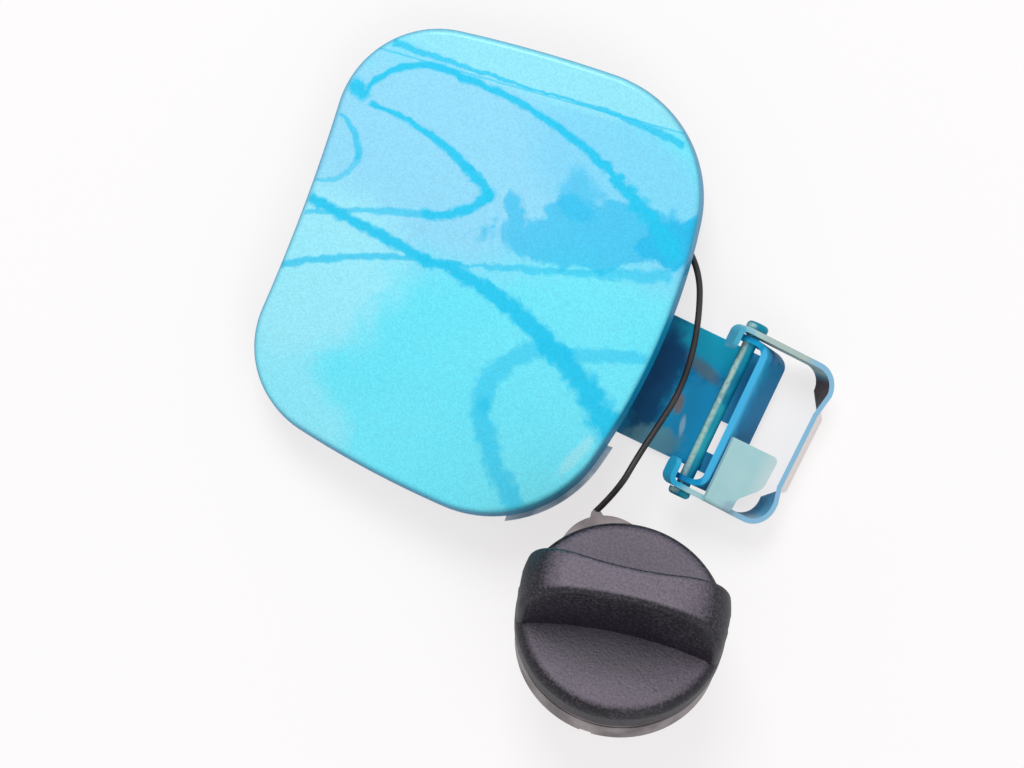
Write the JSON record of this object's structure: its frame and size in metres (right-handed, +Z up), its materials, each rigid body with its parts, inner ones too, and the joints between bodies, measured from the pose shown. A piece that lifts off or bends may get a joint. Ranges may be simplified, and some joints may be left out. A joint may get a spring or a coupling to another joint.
{
  "type": "fuel filler flap with hinge and tethered cap",
  "caption": "Car fuel filler flap with stamped hinge arm, hinge pin and bracket, and a screw cap with grip bar held by a tether.",
  "frame": {"origin": "middle of the underside of the whole part in plan, at the height of the flat surface it lies on", "axes": "+Z up; the hinge pin runs along Y; the bracket points to +X and the flap panel lies to -X"},
  "size_m": [0.2005, 0.2048, 0.0745],
  "materials": {
    "skin_paint": "metallic light blue base coat under clear coat",
    "panel_paint": "thin blue paint over stamped steel",
    "arm_paint": "thin blue paint over stamped steel, worn",
    "pin_paint": "thin blue paint over steel",
    "bracket_zinc": "zinc-plated strap with overspray",
    "hem_sealer": "brushed seam sealer, rough",
    "striker_paint": "thin blue paint over steel",
    "stop_rubber": "matt moulded rubber",
    "anchor_plastic": "moulded plastic",
    "tether_plastic": "moulded plastic, satin",
    "collar_plastic": "moulded plastic under dust",
    "grip_plastic": "fine spark-eroded grain",
    "skirt_plastic": "moulded plastic under dust",
    "ratchet_plastic": "natural acetal",
    "plug_plastic": "moulded plastic",
    "gasket_rubber": "smooth moulded rubber",
    "housing_plastic": "natural acetal",
    "seal_rubber": "smooth moulded rubber",
    "plate_plastic": "natural acetal",
    "spring_steel": "drawn stainless wire",
    "vacuum_plastic": "natural acetal",
    "small_spring_steel": "drawn stainless wire",
    "guard_plastic": "moulded plastic"
  },
  "bodies": {
    "flap": {"outer_skin": "skin_paint", "inner_panel": "panel_paint", "hem_sealer": "hem_sealer", "hinge_arm": "arm_paint", "latch_striker": "striker_paint", "bump_stops": "stop_rubber", "tether_anchor": "anchor_plastic", "tether_cord": "tether_plastic", "tether_collar": "collar_plastic"},
    "bracket": {"hinge_bracket": "bracket_zinc", "hinge_pin": "pin_paint"},
    "grip": {"cap_grip": "grip_plastic", "cap_skirt_ring": "skirt_plastic", "ratchet_ring": "ratchet_plastic"},
    "plug": {"plug_body": "plug_plastic", "neck_gasket": "gasket_rubber", "valve_housing": "housing_plastic", "valve_seal": "seal_rubber", "valve_guard": "guard_plastic", "pressure_spring": "spring_steel"},
    "pressure_valve": {"pressure_plate": "plate_plastic", "vacuum_spring": "small_spring_steel"},
    "vacuum_valve_body": {"vacuum_valve": "vacuum_plastic"}
  },
  "joints": [
    {"name": "flap_hinge", "type": "hinge", "parent": "flap", "child": "bracket", "pos_m": [0.0641, 0.0134, 0.0178], "axis": [0, -1, 0], "range_deg": [-10, 80]},
    {"name": "cap_turn", "type": "hinge", "parent": "flap", "child": "grip", "pos_m": [0.06386, -0.06806, 0.03685], "axis": [-0.1819, 0.469, 0.8643], "continuous": true},
    {"name": "torque_ratchet", "type": "hinge", "parent": "grip", "child": "plug", "pos_m": [0.06468, -0.07017, 0.03296], "axis": [-0.1819, 0.469, 0.8643], "continuous": true, "deforming": ["ratchet_ring"]},
    {"name": "pressure_lift", "type": "slide", "parent": "plug", "child": "pressure_valve", "axis": [-0.1819, 0.469, 0.8643], "range_m": [0, 0.002], "stiffness_N_per_m": 400, "deforming": ["pressure_spring"]},
    {"name": "vacuum_drop", "type": "slide", "parent": "pressure_valve", "child": "vacuum_valve_body", "axis": [0.1819, -0.469, -0.8643], "range_m": [0, 0.0015], "stiffness_N_per_m": 200, "deforming": ["vacuum_spring"]}
  ]
}
